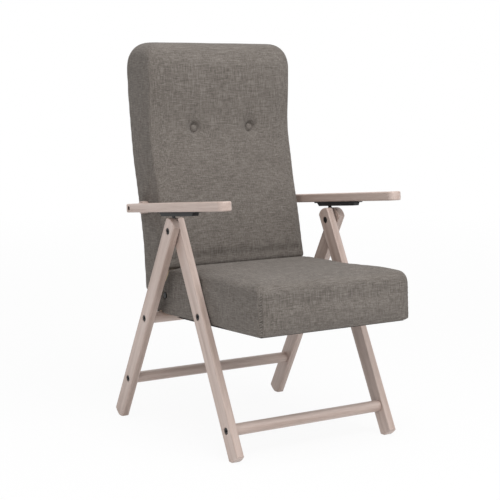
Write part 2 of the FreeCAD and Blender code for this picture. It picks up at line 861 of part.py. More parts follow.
# Back upholstery

# Side outline of the back, from the hinge, as shares of its depth and height
BACK_FRONT = [(-0.075, 0.112), (0.014, 0.244), (0.269, 0.537), (0.354, 0.666), (0.344, 0.831), (0.349, 0.913)]
BACK_REAR = [(1, 0.913), (0.986, 0.833), (0.873, 0.576), (0.736, 0.351), (0.59, 0.125), (0.547, 0)]
BACK_FOOT = [(0.377, 0), (0.33, 0.062), (0.245, 0.09), (0.094, 0.093)]


def corner_drop(share, half):
    """How far the round top corners lie below the top, at a share of the half width."""
    radius = val("back_round")
    beyond = max(0.0, abs(share) * half - (half - radius))
    return radius - math.sqrt(radius ** 2 - beyond ** 2)


def back_section(share, draw_in, crown, inset=0.0):
    """Back outline: hollow front with a waist at the buttons, round top, straight rear, cut-away foot."""
    d = draw_in + inset
    swell = crown * val("back_crown")
    drop = corner_drop(share, BACK_HALF - inset)
    full = val("back_top")

    def sized(points, move):
        """Points in mm, moved in y; those above the buttons come down towards the top corners."""
        made = []
        for deep, high in points:
            fall = drop * max(0.0, (high * full - BUTTON_Z) / (full - BUTTON_Z))
            made.append((deep * val("back_deep") + move, high * full - fall))
        return made

    top = full - d - drop
    front = sized(BACK_FRONT, d - swell)
    rear = sized(BACK_REAR, -d)
    foot = [(y, z + d) for y, z in sized(BACK_FOOT, 0)]
    front[0] = (front[0][0], front[0][1] + d)
    rear[-1] = (rear[-1][0], rear[-1][1] + d)
    shoulder_in = 0.066 * val("back_deep")
    shoulder_low = 0.025 * full
    nose = (front[-1][0] + shoulder_in, top - shoulder_low)
    tail = (rear[0][0] - shoulder_in, top - shoulder_low)
    ridge = ((nose[0] + tail[0]) / 2, top)

    def through(points):
        curve = Part.BSplineCurve()
        curve.interpolate([point(*p) for p in points])
        return curve

    def shoulder(a, b, out):
        bend = ((a[0] + b[0]) / 2 + out * shoulder_in / 5, (a[1] + b[1]) / 2 + shoulder_low / 3)
        return arc(a, bend, b)

    return [
        through(front),
        shoulder(front[-1], nose, -1),
        arc(nose, ridge, tail),
        shoulder(tail, rear[0], 1),
        through(rear),
    ] + chain([rear[-1]] + foot + [front[0]])


def back_room_section(share, draw_in, crown):
    return back_section(share, 0, 0, val("back_skin"))


skin = val("back_skin")
back_shape = swollen(back_section, BACK_HALF, back_frame)
back_room = swollen(back_room_section, BACK_HALF - skin, back_frame)
button_front = BACK_FRONT[3][0] * val("back_deep") - 0.8 * val("back_crown")
tongue_gap = val("tongue_gap")
tongue_wide = val("stile_thick") + 2 * tongue_gap
tongue_room = outline_solid(stile_outline(tongue_gap), STILE_X - tongue_gap, tongue_wide, back_frame)
tongue_twin = tongue_room.mirror(Vector(0, 0, 0), X_AXIS)
bolt_room = rod_solid(-ARM_INNER, 2 * ARM_INNER, ARM_Y, ARM_Z, val("bolt_dia") / 2 + 1)
FORWARD = Vector(0, -1, 0)
REARWARD = Vector(0, 1, 0)
tuft_tools = []
buttons = []
cords = []
for side in (1, -1):
    x = side * val("button_x")
    z = HINGE_Z + BUTTON_Z
    seat_y = HINGE_Y + button_front + val("tuft_deep")
    foot = Vector(x, seat_y, z)
    ball = Part.makeSphere(val("tuft_radius"), Vector(x, seat_y - val("tuft_radius"), z))
    pocket = Part.makeCylinder(val("button_dia") / 2 + GAP, val("tuft_radius"), foot, FORWARD)
    rail_y = HINGE_Y + stile_y(BUTTON_Z) - val("back_rail_thick") / 2
    thread = Part.makeCylinder(val("tuft_cord_dia") / 2 + GAP, rail_y - seat_y, foot, REARWARD)
    tuft_tools += [ball, pocket, thread]
    disc = Part.makeCylinder(val("button_dia") / 2, val("button_tall"), foot, FORWARD)
    rim = [e for e in disc.Edges if abs(e.CenterOfMass.y - (seat_y - val("button_tall"))) < 0.01]
    buttons.append(disc.makeFillet(val("button_tall") * 0.6, rim))
    cords.append(Part.makeCylinder(val("tuft_cord_dia") / 2, rail_y - seat_y, foot, REARWARD))
back_shape = back_shape.cut([back_room, tongue_room, tongue_twin, bolt_room] + tuft_tools)
set_solid("back_cover", back_shape)
set_solid("tuft_buttons", Part.makeCompound(buttons))
set_solid("tuft_cords", Part.makeCompound(cords))


def back_foam_outline():
    """Foam between the cover's inner front and the straps."""
    room = back_section(0, 0, 0, skin + GAP)
    front = room[0]
    back_of = val("stile_wide") / 2 + val("strap_thick") + GAP
    top_z = STILE_TOP[1] - skin
    top = (stile_y(top_z), top_z)
    low = (stile_y(BACK_FOOT_Z), BACK_FOOT_Z)
    rear = [
        beside(top, UPPER_LEAN, -back_of),
        beside(ARM_IN_BACK, BEND_LEAN, -back_of * BEND_GROW),
        beside(low, LOWER_LEAN, -back_of),
    ]
    start = front.value(front.FirstParameter)
    end = front.value(front.LastParameter)
    ends = chain([(end.x, end.y)] + rear + [(start.x, start.y)])
    return [front] + ends


foam_half = STILE_X + val("stile_thick") / 2
back_foam = outline_solid(back_foam_outline(), -foam_half, 2 * foam_half, back_frame)
set_solid("back_foam", back_foam.cut(tuft_tools))


# Arms: bolt, spacer disc, board and notched rack

arm_bolt_end = STILE_X + 2
seat_x = ARM_INNER + val("arm_wide") - val("recess_deep")
head = socket_head("arm_head", seat_x, ARM_Y, ARM_Z, "arm_head_dia", "arm_head_tall")
shank = rod("arm_shank", arm_bolt_end, ARM_Y, ARM_Z, "{bolt_dia} / 2", str(seat_x - arm_bolt_end))
both_sides(fused("arm_bolt", [head, shank]), "arm_bolt")
spacer = ring("spacer", SPACER_X, ARM_Y, ARM_Z, "{spacer_dia}", "{spacer_wide}")
both_sides(spacer, "arm_spacer")


def arm_outline():
    """Arm seen from above, with round corners; its front end is rounder than its rear end."""
    inner = ARM_INNER
    outer = inner + val("arm_wide")
    front = -val("arm_front")
    back = val("arm_back")
    big = val("arm_round")
    small = val("arm_edge") * 1.5
    small_cut = small * CUT_OFF
    big_cut = big * CUT_OFF
    return [
        line((inner, front + big), (inner, back - small)),
        arc((inner, back - small), (inner + small_cut, back - small_cut), (inner + small, back)),
        line((inner + small, back), (outer - small, back)),
        arc((outer - small, back), (outer - small_cut, back - small_cut), (outer, back - small)),
        line((outer, back - small), (outer, front + big)),
        arc((outer, front + big), (outer - big_cut, front + big_cut), (outer - big, front)),
        line((outer - big, front), (inner + big, front)),
        arc((inner + big, front), (inner + big_cut, front + big_cut), (inner, front + big)),
    ]


RACK_X = ARM_INNER + val("rack_inset")
rack_middle = RACK_X + val("rack_wide") / 2
screw_places = [-val("rack_back") - val("rack_end") / 2, -val("rack_front") + val("rack_end") / 2]
underside = -val("arm_thick") / 2


def upright_rod(name, x, y, z, radius, height):
    made = doc.addObject("Part::Cylinder", name)
    bind(made, "Radius", radius)
    bind(made, "Height", height)
    made.Placement = arm_frame.multiply(Placement(Vector(x, y, z), Rotation()))
    return made


arm_place = arm_frame.multiply(Placement(Vector(0, 0, underside), Rotation()))
arm = padded("arm", arm_outline(), "{arm_thick}", arm_place, "XY_Plane")
rounded(arm, "{arm_edge}")
tools = [
    bolt_hole("arm_bore", ARM_INNER, 0, 0, "{arm_wide}", arm_frame),
    rod("arm_recess", seat_x, 0, 0, "{arm_head_dia} / 2 + 1", "{recess_deep}", arm_frame),
]
RACK_BORE = "{rack_screw_dia} / 2 + {bolt_fit}"
for number, y in enumerate(screw_places):
    name = f"arm_pilot_{number}"
    tools.append(upright_rod(name, rack_middle, y, underside, RACK_BORE, "{rack_screw_long}"))
both_sides(cut("arm_drilled", arm, tools), "arm_board")


def rack_outline():
    """Rack from the side: a thin flange against the arm and a deeper body with sloped ends."""
    lip = underside - val("rack_flange")
    low = underside - val("rack_tall")
    back = -val("rack_back")
    front = -val("rack_front")
    end = val("rack_end")
    slope = val("rack_tall") - val("rack_flange")
    points = [
        (back, underside),
        (back, lip),
        (back - end, lip),
        (back - end - slope, low),
        (front + end + slope / 2, low),
        (front + end, lip),
        (front, lip),
        (front, underside),
        (back, underside),
    ]
    return chain(points)


latch_y = val("apex_y") + val("latch_reach_y")
latch_z = val("apex_z") + val("latch_reach_z")
TIP = seen_from(arm_frame, latch_y, latch_z)


def slot_outline():
    """Slot for the latch tip, open below, with a row of notches in its roof."""
    roof = TIP[1] + val("slot_play")
    half = val("latch_tip") / 2 + 1
    pitch = val("notch_pitch")
    low = underside - val("rack_tall") - 1
    start = TIP[0] + half + 2
    points = [(start, low), (start, roof)]
    for number in range(int(val("notch_count"))):
        middle = TIP[0] - pitch * number
        points.append((middle + half, roof))
        points.append((middle + half - 2, roof + val("notch_deep")))
        points.append((middle - half + 2, roof + val("notch_deep")))
        points.append((middle - half, roof))
    last = TIP[0] - pitch * (val("notch_count") - 1) - half - 2
    points += [(last, roof), (last, low), (start, low)]
    return chain(points)


rack_place = arm_frame.multiply(Placement(Vector(RACK_X, 0, 0), Rotation()))
rack = padded("rack", rack_outline(), "{rack_wide}", rack_place)
slot_x = FRONT_OUTER + val("latch_thick") / 2 - val("slot_wide") / 2
slot_place = arm_frame.multiply(Placement(Vector(slot_x, 0, 0), Rotation()))
slot = padded("rack_slot", slot_outline(), "{slot_wide}", slot_place)
tools = [slot]
screws = []
for number, y in enumerate(screw_places):
    low = underside - val("rack_flange")
    tools.append(upright_rod(f"rack_hole_{number}", rack_middle, y, low, RACK_BORE, "{rack_flange}"))
    head = upright_rod(f"rack_head_{number}", rack_middle, y, low - 2, "{rack_screw_head} / 2", "2")
    name = f"rack_shank_{number}"
    shank = upright_rod(name, rack_middle, y, low, "{rack_screw_dia} / 2", "{rack_screw_long}")
    screws.append(fused(f"rack_screw_{number}", [head, shank]))
both_sides(cut("rack_cut", rack, tools), "arm_rack")
right_screws = doc.addObject("Part::Compound", "rack_screws_right")
right_screws.Links = screws
both_sides(right_screws, "rack_screws")

doc.recompute()
os.makedirs("parts", exist_ok=True)
for obj in doc.Objects:
    if "Invalid" in obj.State or "Error" in obj.State:
        raise RuntimeError(f"{obj.Label} did not recompute: {obj.State}")
for obj in nodes:
    if obj.Shape.isNull() or not obj.Shape.isValid():
        raise RuntimeError(f"{obj.Label} has no valid shape")
    obj.Shape.exportStep(f"parts/{obj.Label}.step")
    box = obj.Shape.BoundBox
    print(f"{obj.Label}: {len(obj.Shape.Solids)} solids, y {box.YMin:.1f} to {box.YMax:.1f}, "
          f"z {box.ZMin:.1f} to {box.ZMax:.1f}, x {box.XMin:.1f} to {box.XMax:.1f}")
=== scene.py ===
import json
import math

import bmesh
import bpy
import numpy as np
from mathutils import Matrix, Vector
from mathutils.bvhtree import BVHTree


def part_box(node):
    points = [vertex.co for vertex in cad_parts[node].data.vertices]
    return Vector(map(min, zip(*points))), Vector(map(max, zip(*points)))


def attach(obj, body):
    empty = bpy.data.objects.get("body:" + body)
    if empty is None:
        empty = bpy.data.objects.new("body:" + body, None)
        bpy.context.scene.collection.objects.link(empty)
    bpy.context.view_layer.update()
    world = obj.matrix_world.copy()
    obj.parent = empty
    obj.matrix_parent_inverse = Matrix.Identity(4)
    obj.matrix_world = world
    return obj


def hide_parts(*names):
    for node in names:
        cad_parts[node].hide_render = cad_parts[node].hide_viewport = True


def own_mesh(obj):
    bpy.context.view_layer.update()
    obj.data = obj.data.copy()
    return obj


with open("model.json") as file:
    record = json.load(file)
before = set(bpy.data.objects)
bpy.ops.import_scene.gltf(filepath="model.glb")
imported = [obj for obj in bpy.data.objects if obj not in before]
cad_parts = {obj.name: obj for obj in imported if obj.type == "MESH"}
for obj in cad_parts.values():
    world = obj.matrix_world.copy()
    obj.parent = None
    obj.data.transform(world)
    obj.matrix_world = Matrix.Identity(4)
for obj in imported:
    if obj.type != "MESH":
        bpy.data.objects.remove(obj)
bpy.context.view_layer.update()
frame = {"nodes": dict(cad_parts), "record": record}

# Folding wooden recliner. Metres in the frame of the CAD model; outlines below are in millimetres.
MM = 0.001

# Pivots and turned frames of the pieces

joints = {joint["name"]: joint for joint in frame["record"]["behaviour"]["joints"]}
SEAT_PIVOT = Vector(joints["seat_fold"]["pos_m"])
HINGE = Vector(joints["back_recline"]["pos_m"])
ARM_BOLT = Vector(joints["right_arm_lift"]["pos_m"])
SEAT_TILT = math.radians(-1.9)
ARM_TILT = math.radians(-5.3)
FRONT_LEG_LEAN = math.radians(-27.4)
REAR_LEG_LEAN = math.radians(28.4)

seat_frame = Matrix.Translation(Vector((0, SEAT_PIVOT.y, SEAT_PIVOT.z))) @ Matrix.Rotation(SEAT_TILT, 4, "X")
back_frame = Matrix.Translation(Vector((0, HINGE.y, HINGE.z)))

SEAT_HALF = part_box("seat_cover")[1][0] / MM
BACK_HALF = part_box("back_cover")[1][0] / MM
BAR_RADIUS = (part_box("rear_upper_stretcher")[1][2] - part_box("rear_upper_stretcher")[0][2]) / 2 / MM


def middle_of(node):
    low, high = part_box(node)
    return (Vector(low) + Vector(high)) / 2


def in_seat(place):
    """Side-view y and z of a place, in millimetres in the seat's frame."""
    local = seat_frame.inverted() @ Vector((0, place.y, place.z))
    return local.y / MM, local.z / MM


# Node materials

def shader(name, **sockets):
    """A material with one Principled shader; sockets are constants on that shader."""
    material = bpy.data.materials.new(name)
    material.use_nodes = True
    tree = material.node_tree
    tree.nodes.clear()
    out = tree.nodes.new("ShaderNodeOutputMaterial")
    surface = tree.nodes.new("ShaderNodeBsdfPrincipled")
    tree.links.new(surface.outputs["BSDF"], out.inputs["Surface"])
    for key, value in sockets.items():
        surface.inputs[key.replace("_", " ")].default_value = value
    return material, tree, surface


def add(tree, kind, inputs, **settings):
    """Adds a node and fills its inputs, by name or number, with constants or links; returns its outputs."""
    made = tree.nodes.new(kind)
    for key, value in settings.items():
        setattr(made, key, value)
    for key, value in inputs.items():
        if isinstance(value, bpy.types.NodeSocket):
            tree.links.new(value, made.inputs[key])
        else:
            made.inputs[key].default_value = value
    return made.outputs


def compute(tree, operation, a, b=0.0, c=0.0):
    return add(tree, "ShaderNodeMath", {0: a, 1: b, 2: c}, operation=operation)[0]


def ramp(tree, factor, stops):
    """Colour ramp with (place, colour) stops."""
    made = tree.nodes.new("ShaderNodeValToRGB")
    tree.links.new(factor, made.inputs["Fac"])
    band = made.color_ramp
    while len(band.elements) < len(stops):
        band.elements.new(1.0)
    for element, (place, colour) in zip(band.elements, stops):
        element.position = place
        element.color = (*colour, 1.0)
    return made.outputs["Color"]


def object_coords(tree):
    return add(tree, "ShaderNodeTexCoord", {})["Object"]


def stretched_noise(tree, coords, sizes, turn=(0, 0, 0), detail=3.0, roughness=0.55):
    """Noise whose features have a size in metres along each axis of a turned frame."""
    turned = add(tree, "ShaderNodeMapping", {"Vector": coords, "Rotation": turn, "Scale": sizes},
                 vector_type="TEXTURE")
    inputs = {"Vector": turned[0], "Scale": 1.0, "Detail": detail, "Roughness": roughness}
    return add(tree, "ShaderNodeTexNoise", inputs)["Fac"]


def bump(tree, surface, height, strength, distance):
    inputs = {"Strength": strength, "Distance": distance, "Height": height}
    normal = add(tree, "ShaderNodeBump", inputs)["Normal"]
    tree.links.new(normal, surface.inputs["Normal"])


def rough(tree, surface, factor, low, high):
    spread = add(tree, "ShaderNodeMapRange", {"Value": factor, "To Min": low, "To Max": high})
    tree.links.new(spread[0], surface.inputs["Roughness"])


def wood(name, dark, mid, light, turn, gloss):
    """Planed wood with its fibres along the Z axis of a turned frame, under a satin lacquer."""
    material, tree, surface = shader(name, Coat_Weight=gloss, Coat_Roughness=0.28)
    coords = object_coords(tree)
    bands = stretched_noise(tree, coords, (0.016, 0.016, 0.5), turn, 2.0, 0.5)
    fibres = stretched_noise(tree, coords, (0.0016, 0.0016, 0.05), turn, 4.0, 0.65)
    pores = stretched_noise(tree, coords, (0.0007, 0.0007, 0.009), turn, 2.0, 0.6)
    tone = compute(tree, "MULTIPLY_ADD", fibres, 0.45, compute(tree, "MULTIPLY", bands, 0.55))
    colour = ramp(tree, tone, [(0.34, dark), (0.5, mid), (0.66, light)])
    flecks = add(tree, "ShaderNodeMapRange", {"Value": pores, "From Min": 0.62, "From Max": 0.78})
    shaded = add(tree, "ShaderNodeMix", {"Factor": compute(tree, "MULTIPLY", flecks[0], 0.35), 6: colour,
                                         7: (*dark, 1.0)}, data_type="RGBA")
    tree.links.new(shaded[2], surface.inputs["Base Color"])
    rough(tree, surface, fibres, 0.36, 0.5)
    bump(tree, surface, compute(tree, "MULTIPLY_ADD", pores, 0.5, fibres), 0.12, 0.0003)
    return material


def weave(name, dark, mid, light):
    """Linen-like cloth: plain weave with slubs that run along both thread directions of each face."""
    material, tree, surface = shader(name, Sheen_Weight=0.06, Sheen_Roughness=0.6, Specular_IOR_Level=0.25)
    coords = object_coords(tree)
    normal = add(tree, "ShaderNodeTexCoord", {})["Normal"]
    place = add(tree, "ShaderNodeSeparateXYZ", {0: coords})
    facing = add(tree, "ShaderNodeSeparateXYZ", {0: normal})
    squares = [compute(tree, "MULTIPLY", facing[k], facing[k]) for k in range(3)]
    pitch = 0.0021
    threads = []
    for k in range(3):
        threads.append(compute(tree, "SINE", compute(tree, "MULTIPLY", place[k], 2 * math.pi / pitch)))
    height = None
    for k in range(3):
        a, b = [threads[i] for i in range(3) if i != k]
        crossing = compute(tree, "MULTIPLY", compute(tree, "MULTIPLY", a, b), squares[k])
        height = crossing if height is None else compute(tree, "ADD", height, crossing)
    slubs = None
    for k in range(3):
        sizes = [0.002, 0.002, 0.002]
        sizes[k] = 0.024
        streak = stretched_noise(tree, coords, sizes, detail=3.0, roughness=0.6)
        across = compute(tree, "MULTIPLY", compute(tree, "SUBTRACT", 1.0, squares[k]), 0.5)
        share = compute(tree, "MULTIPLY", streak, across)
        slubs = share if slubs is None else compute(tree, "ADD", slubs, share)
    yarn = stretched_noise(tree, coords, (0.0013, 0.0013, 0.0013), detail=2.0)
    cloud = stretched_noise(tree, coords, (0.12, 0.12, 0.12), detail=2.0)
    tone = compute(tree, "MULTIPLY_ADD", slubs, 0.74, compute(tree, "MULTIPLY", yarn, 0.2))
    tone = compute(tree, "MULTIPLY_ADD", cloud, 0.06, tone)
    tone = compute(tree, "MULTIPLY_ADD", height, 0.02, tone)
    tree.links.new(ramp(tree, tone, [(0.39, dark), (0.5, mid), (0.61, light)]), surface.inputs["Base Color"])
    rough(tree, surface, yarn, 0.82, 0.97)
    relief = compute(tree, "MULTIPLY_ADD", slubs, 1.6, compute(tree, "MULTIPLY", height, 0.35))
    bump(tree, surface, relief, 0.55, 0.0009)
    return material


def metal(name, dark, light):
    """Blackened steel with a fine powdery skin and slightly worn high spots."""
    material, tree, surface = shader(name, Metallic=0.25, Specular_IOR_Level=0.35)
    coords = object_coords(tree)
    grit = stretched_noise(tree, coords, (0.0009, 0.0009, 0.0009), detail=3.0)
    wear = stretched_noise(tree, coords, (0.007, 0.007, 0.007), detail=4.0, roughness=0.7)
    tree.links.new(ramp(tree, wear, [(0.45, dark), (0.72, light)]), surface.inputs["Base Color"])
    rough(tree, surface, grit, 0.34, 0.55)
    bump(tree, surface, grit, 0.15, 0.0003)
    return material


def moulded(name, dark, light):
    """Black moulded plastic with a spark-eroded grain."""
    material, tree, surface = shader(name, Specular_IOR_Level=0.4)
    coords = object_coords(tree)
    grain = stretched_noise(tree, coords, (0.0012, 0.0012, 0.0012), detail=2.0)
    flow = stretched_noise(tree, coords, (0.02, 0.05, 0.02), detail=2.0)
    tree.links.new(ramp(tree, flow, [(0.35, dark), (0.7, light)]), surface.inputs["Base Color"])
    rough(tree, surface, grain, 0.42, 0.6)
    bump(tree, surface, grain, 0.25, 0.0003)
    return material


def felt(name, dark, light, grain_size):
    """Thin unwoven or foamed stuff with a soft random grain."""
    material, tree, surface = shader(name, Specular_IOR_Level=0.2)
    coords = object_coords(tree)
    grain = stretched_noise(tree, coords, (grain_size,) * 3, detail=4.0, roughness=0.7)
    tree.links.new(ramp(tree, grain, [(0.35, dark), (0.65, light)]), surface.inputs["Base Color"])
    rough(tree, surface, grain, 0.85, 0.98)
    bump(tree, surface, grain, 0.4, 0.0006)
    return material


LACQUER = ((0.395, 0.292, 0.247), (0.525, 0.412, 0.362), (0.61, 0.5, 0.45))
PINE = ((0.42, 0.29, 0.17), (0.58, 0.43, 0.27), (0.68, 0.54, 0.36))
CLOTH = ((0.09, 0.077, 0.066), (0.158, 0.139, 0.123), (0.246, 0.221, 0.199))
along_x = (0, math.radians(90), 0)

front_leg_wood = wood("front_leg_wood", *LACQUER, (FRONT_LEG_LEAN, 0, 0), 0.3)
rear_leg_wood = wood("rear_leg_wood", *LACQUER, (REAR_LEG_LEAN, 0, 0), 0.3)
bar_wood = wood("bar_wood", *LACQUER, along_x, 0.3)
arm_wood = wood("arm_wood", *LACQUER, (math.radians(90) + ARM_TILT, 0, 0), 0.3)
rail_wood = wood("rail_wood", *PINE, (math.radians(90) + SEAT_TILT, 0, 0), 0.0)
stile_wood = wood("stile_wood", *PINE, (0, 0, 0), 0.0)
cross_wood = wood("cross_wood", *PINE, along_x, 0.0)
cloth = weave("cover_cloth", *CLOTH)
thread = felt("seam_thread", (0.2, 0.18, 0.16), (0.34, 0.31, 0.285), 0.0006)
steel = metal("black_steel", (0.007, 0.007, 0.008), (0.03, 0.03, 0.031))
plastic = moulded("black_plastic", (0.010, 0.010, 0.011), (0.022, 0.022, 0.024))
foam = felt("foam", (0.62, 0.55, 0.38), (0.74, 0.68, 0.5), 0.002)
strap = felt("strap", (0.05, 0.045, 0.04), (0.1, 0.09, 0.08), 0.0015)
lining = felt("lining", (0.02, 0.02, 0.022), (0.05, 0.05, 0.053), 0.0012)

BY_SLOT = {"black_steel": steel, "rack_plastic": plastic, "foam": foam, "webbing": strap,
           "dust_fabric": lining, "cover_fabric": cloth}


def finish_of(name):
    """Material of a carried-over CAD node, with the grain along the piece."""
    if "leg_" in name:
        return front_leg_wood if name.startswith("front") else rear_leg_wood
    if name.startswith(("arm_board", "arm_spacer")):
        return arm_wood
    if name.startswith("seat_rail"):
        return rail_wood
    if name.startswith("back_stile"):
        return stile_wood
    if name.startswith(("seat_", "back_")) and name.endswith("_rail"):
        return cross_wood
    return bar_wood


slots = {part["node"]: part["material_slot"] for part in frame["record"]["subparts"]}
for name, obj in frame["nodes"].items():
    material = BY_SLOT.get(slots[name]) or finish_of(name)
    obj.data.materials.clear()
    obj.data.materials.append(material)


# Mesh helpers

def piece(name, verts, faces, place, material):
    """A new mesh object in a turned frame, with its faces turned outwards."""
    mesh = bpy.data.meshes.new(name)
    mesh.from_pydata([tuple(v) for v in verts], [], faces)
    shape = bmesh.new()
    shape.from_mesh(mesh)
    bmesh.ops.recalc_face_normals(shape, faces=shape.faces)
    shape.to_mesh(mesh)
    shape.free()
    mesh.materials.append(material)
    obj = bpy.data.objects.new(name, mesh)
    bpy.context.scene.collection.objects.link(obj)
    obj.matrix_world = place
    bpy.context.view_layer.update()
    return obj


def lofted(rings):
    """Vertices and faces of a closed solid through rings of (x, y, z) millimetre points."""
    count = len(rings[0])
    verts = [Vector(p) * MM for ring in rings for p in ring]
    faces = []
    for r in range(len(rings) - 1):
        for k in range(count):
            a = r * count + k
            b = r * count + (k + 1) % count
            faces.append((a, b, b + count, a + count))
    faces.append(tuple(range(count)))
    faces.append(tuple(range((len(rings) - 1) * count, len(rings) * count)))
    return verts, faces


def joined(*solids):
    """Several vertex and face lists as one."""
    verts, faces = [], []
    for more_verts, more_faces in solids:
        start = len(verts)
        verts += more_verts
        faces += [tuple(start + k for k in face) for face in more_faces]
    return verts, faces


def settle(obj):
    """Applies the modifiers of a piece to its mesh."""
    depsgraph = bpy.context.evaluated_depsgraph_get()
    made = bpy.data.meshes.new_from_object(obj.evaluated_get(depsgraph))
    old = obj.data
    obj.modifiers.clear()
    obj.data = made
    bpy.data.meshes.remove(old)


def points_of(mesh):
    flat = np.empty(len(mesh.vertices) * 3)
    mesh.vertices.foreach_get("co", flat)
    return flat.reshape(-1, 3)


def normals_of(mesh):
    flat = np.empty(len(mesh.vertices) * 3)
    mesh.vertices.foreach_get("normal", flat)
    return flat.reshape(-1, 3)


def move_points(mesh, points):
    mesh.vertices.foreach_set("co", np.asarray(points).ravel())
    mesh.update()


def smoothstep(x, low, high):
    t = np.clip((x - low) / (high - low), 0, 1)
    return t * t * (3 - 2 * t)


def skin(obj, voxel=0.006):
    """One even skin over a piece's overlapping solids."""
    remesh = obj.modifiers.new("skin", "REMESH")
    remesh.mode = "VOXEL"
    remesh.voxel_size = voxel
    even = obj.modifiers.new("even", "SMOOTH")
    even.factor = 0.5
    even.iterations = 2
    settle(obj)


def puffed(obj, held, most_out, most_in, frames=20):
    """Blows a skin up like a filled cover. held is a weight per point; the movement out and in is capped."""
    start = points_of(obj.data)
    group = obj.vertex_groups.new(name="held")
    for index in np.flatnonzero(held > 0):
        group.add([int(index)], float(held[index]), "REPLACE")
    cover = obj.modifiers.new("cover", "CLOTH")
    settings = cover.settings
    settings.quality = 4
    settings.mass = 0.35
    settings.tension_stiffness = 25
    settings.compression_stiffness = 25
    settings.shear_stiffness = 12
    settings.bending_stiffness = 1.5
    settings.use_pressure = True
    settings.uniform_pressure_force = 4
    settings.effector_weights.gravity = 0
    settings.vertex_group_mass = "held"
    cover.collision_settings.use_collision = False
    cover.point_cache.frame_start = 1
    cover.point_cache.frame_end = frames
    scene = bpy.context.scene
    for number in range(1, frames + 1):
        scene.frame_set(number)
    depsgraph = bpy.context.evaluated_depsgraph_get()
    moved = points_of(obj.evaluated_get(depsgraph).data) - start
    obj.modifiers.clear()
    obj.vertex_groups.clear()
    scene.frame_set(1)
    length = np.linalg.norm(moved, axis=1, keepdims=True)
    outwards = (moved * normals_of(obj.data)).sum(axis=1, keepdims=True) > 0
    most = np.where(outwards, most_out, most_in)
    soft = most * np.tanh(length / most)
    move_points(obj.data, start + moved * soft / np.maximum(length, 1e-9))


def refined(obj):
    """One subdivision, and smooth shading."""
    finer = obj.modifiers.new("finer", "SUBSURF")
    finer.levels = 1
    finer.render_levels = 1
    settle(obj)
    obj.data.shade_smooth()


def rounded_outline(corners, steps=7):
    """Closed side outline through (y, z, radius) corners, each rounded by an arc."""
    points = []
    for k, (y, z, radius) in enumerate(corners):
        here = Vector((y, z))
        before = (Vector(corners[k - 1][:2]) - here).normalized()
        after = (Vector(corners[(k + 1) % len(corners)][:2]) - here).normalized()
        half = before.angle(after) / 2
        reach = radius / math.tan(half)
        centre = here + (before + after).normalized() * radius / math.sin(half)
        first = here + before * reach - centre
        last = here + after * reach - centre
        for n in range(steps + 1):
            spoke = first.lerp(last, n / steps).normalized() * radius
            points.append(tuple(centre + spoke))
    return points


# Seat upholstery: padded box on the rails, with ears behind it that cover the rails' hinge ends

SEAT_FRONT, SEAT_REAR = -282, 193
SEAT_LOW, SEAT_HIGH = -23, 113
SEAT_SIDE_ROUND = 20
SEAT_CROWN = 5
# In front of the legs the cushion is wider; the fold presses this width in between the legs
SEAT_WIDER = 1.03
SEAT_SIDE_LIMIT = SEAT_HALF + 2
LOW_CORNER = 11
# Far enough out that the ears, which the fold presses in too, stay clear of the stiles
EAR_INNER = 217.8
RAIL_LOW = -22
EAR_START, EAR_END = 120, 284
EAR_TOP, EAR_TOP_END = 108, 201


def seat_rings():
    """Side outlines from left to right: the top draws in more at the sides than the front does."""
    half = SEAT_HALF
    straight = half - SEAT_SIDE_ROUND
    stations = [(x, 0.0) for x in np.linspace(-straight, straight, 21)]
    for angle in np.radians(np.linspace(12, 90, 7)):
        x = straight + SEAT_SIDE_ROUND * math.sin(angle)
        stations.append((x, 1 - math.cos(angle)))
        stations.insert(0, (-x, 1 - math.cos(angle)))
    rings = []
    for x, draw in stations:
        front = SEAT_FRONT + 6 * draw
        rear = SEAT_REAR - 6 * draw
        high = SEAT_HIGH - SEAT_SIDE_ROUND * draw
        outline = rounded_outline([
            (front, SEAT_LOW + 1.5 * draw, 5),
            (front, high, 30),
            (rear, high, 16),
            (rear, SEAT_LOW + 1.5 * draw, 5),
        ])
        swell = SEAT_CROWN * (1 - (x / SEAT_HALF) ** 2)
        middle = (front + rear) / 2
        ring = []
        for y, z in outline:
            share = max(0.0, 1 - ((y - middle) / (rear - middle)) ** 2)
            rise = swell * share if z > 0 else 0.0
            ring.append((x, y, z + rise))
        rings.append(ring)
    return rings


def ear_rings(side):
    """Slab over one rail's rear end, notched where it lies on the rear bar."""
    bar_y, bar_z = in_seat(middle_of("rear_upper_stretcher"))
    notch = BAR_RADIUS + 1.2
    half = math.sqrt(notch ** 2 - (RAIL_LOW - bar_z) ** 2)
    first = math.atan2(RAIL_LOW - bar_z, -half)
    last = math.atan2(RAIL_LOW - bar_z, half)
    outline = [(EAR_START, RAIL_LOW)]
    for angle in np.linspace(first, last, 9):
        outline.append((bar_y + notch * math.cos(angle), bar_z + notch * math.sin(angle)))
    outline += [(EAR_END, RAIL_LOW), (EAR_END + 4, RAIL_LOW + 7)]
    outline += [(EAR_TOP_END, EAR_TOP), (EAR_START, EAR_TOP)]
    rings = []
    for x in (EAR_INNER, (EAR_INNER + SEAT_HALF) / 2, SEAT_HALF):
        rings.append([(side * x, y, z) for y, z in outline])
    return rings


def dimpled_side(points, y, z, depth_to, radius):
    """Presses the side panels in around a bolt, to a given half width."""
    reach = np.hypot(points[:, 1] - y * MM, points[:, 2] - z * MM)
    share = 1 - smoothstep(reach, radius * MM, (radius + 5) * MM)
    side = np.abs(points[:, 0]) > 0.2
    deep = np.sign(points[:, 0]) * np.minimum(np.abs(points[:, 0]), depth_to * MM)
    points[:, 0] = np.where(side, points[:, 0] + (deep - points[:, 0]) * share, points[:, 0])


